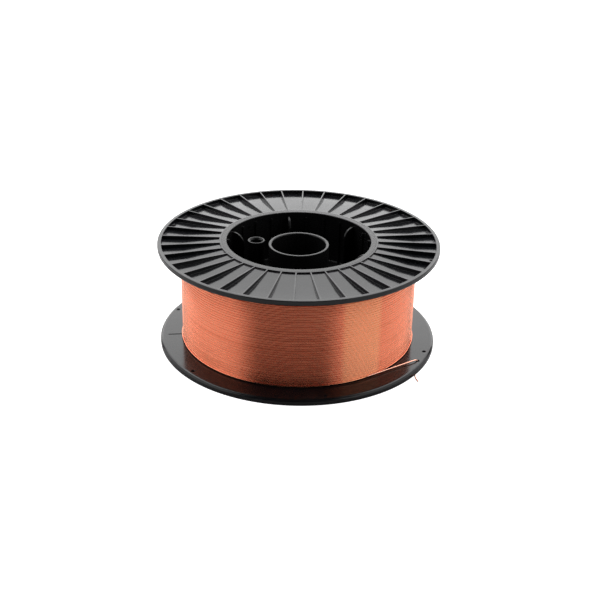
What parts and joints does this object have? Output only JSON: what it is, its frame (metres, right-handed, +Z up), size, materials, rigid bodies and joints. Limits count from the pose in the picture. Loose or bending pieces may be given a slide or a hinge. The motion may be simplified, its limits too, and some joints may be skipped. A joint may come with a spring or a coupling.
{
  "type": "wire spool",
  "caption": "Large-bore black plastic spool with ribbed flanges, wound full with copper-coated welding wire whose end is tucked through the lower flange.",
  "frame": {"origin": "centre of the lower face that the spool stands on", "axes": "+Z up along the spool's axis; the drive-pin sleeve is at 159 degrees from +X, the outer wire end leaves near -34 degrees"},
  "size_m": [0.27, 0.27, 0.104],
  "materials": {
    "flange_plastic": "injection-moulded black plastic, satin, faint mould texture, light handling marks",
    "core_plastic": "injection-moulded black plastic, dull inside the core",
    "coppered_wire": "drawn steel wire with a thin bright copper coat, fine lines round the pack"
  },
  "bodies": {
    "root": {"upper_flange": "flange_plastic", "lower_flange": "flange_plastic", "upper_core_half": "core_plastic", "lower_core_half": "core_plastic", "arbor_tube": "core_plastic", "drive_pin_sleeve": "core_plastic", "wire_inner_layers": "coppered_wire", "wire_outer_layer": "coppered_wire", "wire_start_end": "coppered_wire", "wire_tail": "coppered_wire"}
  },
  "joints": []
}
